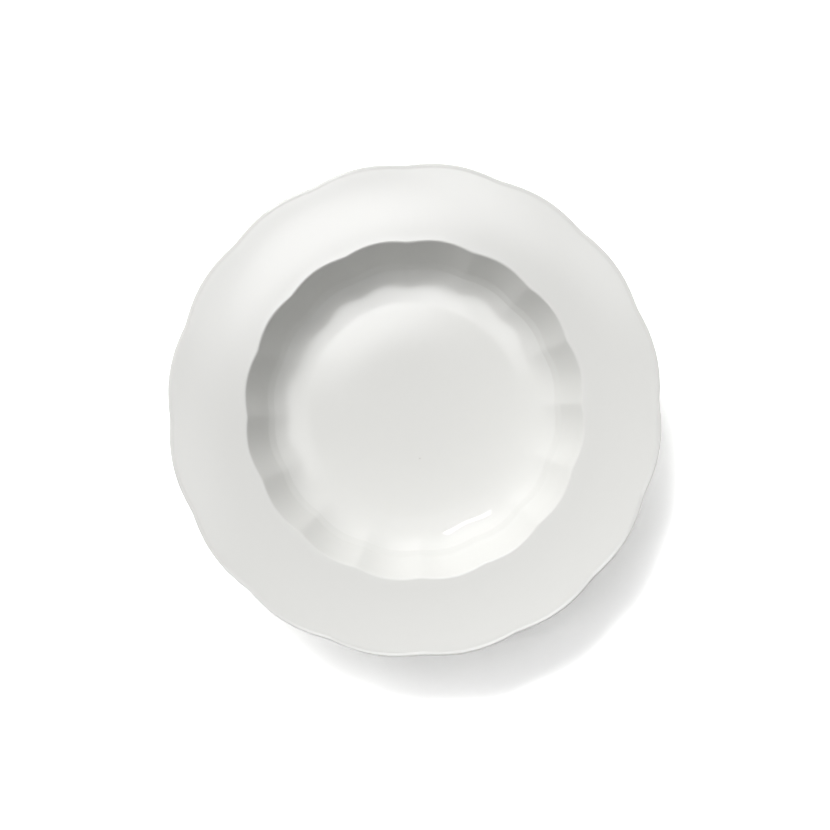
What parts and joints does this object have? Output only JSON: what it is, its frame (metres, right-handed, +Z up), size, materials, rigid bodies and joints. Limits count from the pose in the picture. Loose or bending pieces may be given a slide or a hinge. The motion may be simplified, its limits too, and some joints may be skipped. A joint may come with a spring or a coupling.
{
  "type": "plate",
  "caption": "Round deep plate of white glazed ceramic, with a scalloped rim, a fluted well and a foot ring, for soup, pasta or salad.",
  "frame": {"origin": "centre of the flat underside of the foot ring, which the plate stands on", "axes": "+Z up along the plate's axis, out of the well; a crest of the scallops lies on +X and another on +Y"},
  "size_m": [0.24, 0.24, 0.0411],
  "materials": {
    "bisque": "matte",
    "white_glaze": "gloss"
  },
  "bodies": {
    "root": {"ceramic_body": "bisque", "glaze_coat": "white_glaze", "recess_glaze": "white_glaze"}
  },
  "joints": []
}
